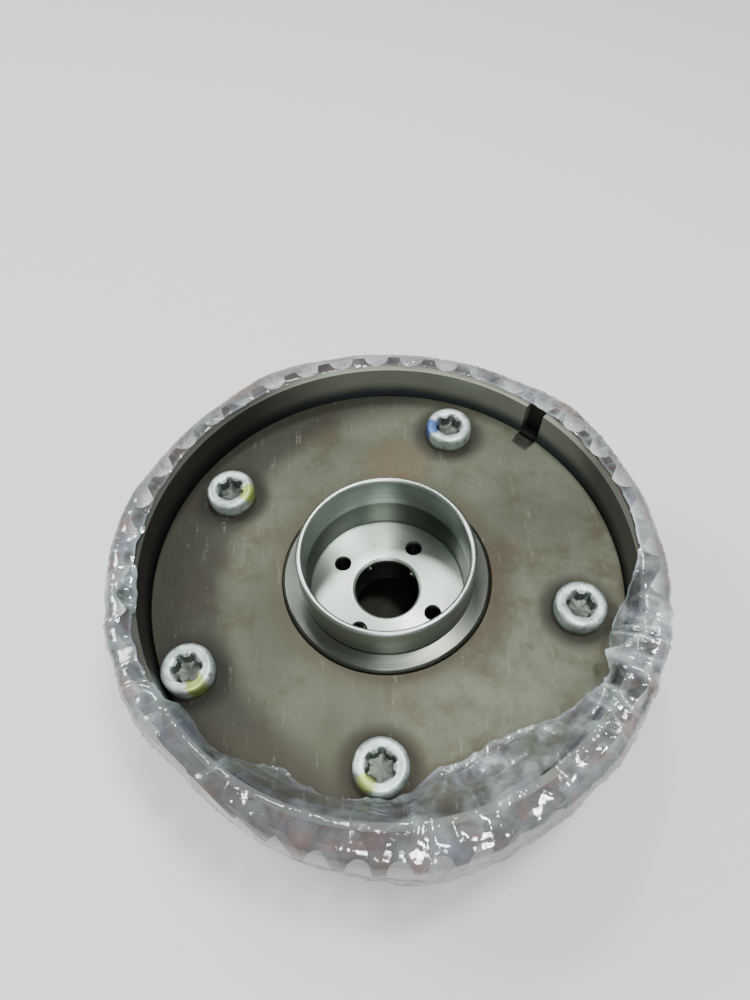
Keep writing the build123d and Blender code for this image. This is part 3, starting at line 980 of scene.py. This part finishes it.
def buildFilm(material):
    rows = film["rows"]
    columns = film["columns"]
    points = []
    marks = {"fold": [], "wall": [], "side": [], "pale": []}
    for column in range(columns):
        angle = 360 * column / columns
        turn = math.radians(angle)
        middle, narrowness = film["bridge"]
        span = max(0.0, math.cos(turn - math.radians(middle))) ** narrowness
        profile = filmProfile(readTable(film["bulge"], angle), span)
        length = profileLengthTo(profile, readTable(film["hem"], angle) * mm)
        topStart = sum((second - first).length for first, second in zip(profile[:5], profile[1:5]))
        ragged = noise.noise(Vector((math.cos(turn), math.sin(turn), 0.3)) * 16)
        length += (0.6 - 0.4 * math.sin(turn)) * mm * ragged
        for row in range(rows + 1):
            distance = length * row / rows
            place, heading = alongProfile(profile, distance)
            outward = Vector((heading.y, -heading.x))
            lift, fold = creaseAt(angle, distance, distance < topStart)
            place = place + outward * lift * mm
            points.append((place.x * math.cos(turn), place.x * math.sin(turn), place.y))
            marks["fold"].append(fold if row < rows - 1 else max(fold, 0.6))
            outside = max(0.0, min(1.0, (place.x - rim["radius"] + 2.0 * mm) / (2.0 * mm)))
            low = max(0.0, min(1.0, (rimTop - 4 * mm - place.y) / (9 * mm)))
            marks["wall"].append(outside * (1.0 - low))
            marks["side"].append(outside * low)
            marks["pale"].append(readTable(film["paleness"], angle))
    faces = []
    for column in range(columns):
        following = (column + 1) % columns
        for row in range(rows):
            first = column * (rows + 1) + row
            second = following * (rows + 1) + row
            faces.append((first, second, second + 1, first + 1))
    made = meshObject("stretch_film", points, faces, material)
    for name, numbers in marks.items():
        values = made.data.attributes.new(name, "FLOAT", "POINT")
        values.data.foreach_set("value", numbers)
    return made


# put it together

makeCamera()
makeWorld()
for lightName in ("back", "front", "left", "lamp"):
    makeLight(lightName)

places = screwPlaces()
print("screws at", [[round(c / mm, 1) for c in p] for p in places])

finishes = {
    "stained_steel": stainedSteel(places),
    "sintered_steel": sinteredSteel(),
    "cover_steel": turnedSteel("cover_steel"),
    "bright_steel": turnedSteel("bright_steel"),
    "machined_steel": turnedSteel("machined_steel", seatBores()),
    "zinc_screw": zincScrew(places),
    "clear_film": clearFilm(),
}
for plainName in plainParts:
    finishes[plainName] = plainFinish(plainName)
slotOf = {part["node"]: part["material_slot"] for part in frame["record"]["subparts"]}
for node, piece in frame["nodes"].items():
    piece.data.materials.clear()
    piece.data.materials.append(finishes[slotOf[node]])
print("finishes made:", len(finishes))

collar = buildSleeve(finishes["bright_steel"])
shadeByAngle(collar, 40.0)
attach(collar, "rotor")
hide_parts("journal_sleeve")

screwSet = buildScrews(places, finishes["zinc_screw"])
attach(screwSet, "housing")
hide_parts("cover_screws")
print("collar and screws made:", len(collar.data.polygons), len(screwSet.data.polygons), "faces")

coil = buildPinSpring()
print("pin spring flattens with its pin:", coil.name)

filmPiece = buildFilm(finishes["clear_film"])
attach(filmPiece, "housing")
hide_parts("film_wrap")

floorMaterial, floorWire = newMaterial("floor")
floorShader = floorWire.node("ShaderNodeBsdfPrincipled", None, Base_Color=studio["floorColor"], Roughness=0.7)
finishMaterial(floorWire, floorShader)
half = studio["floorSize"] / 2
level = restLevel - 0.05 * mm
corners = [(-half, -half, level), (half, -half, level), (half, half, level), (-half, half, level)]
floor = meshObject("floor", corners, [(0, 1, 2, 3)], floorMaterial, smooth=False)
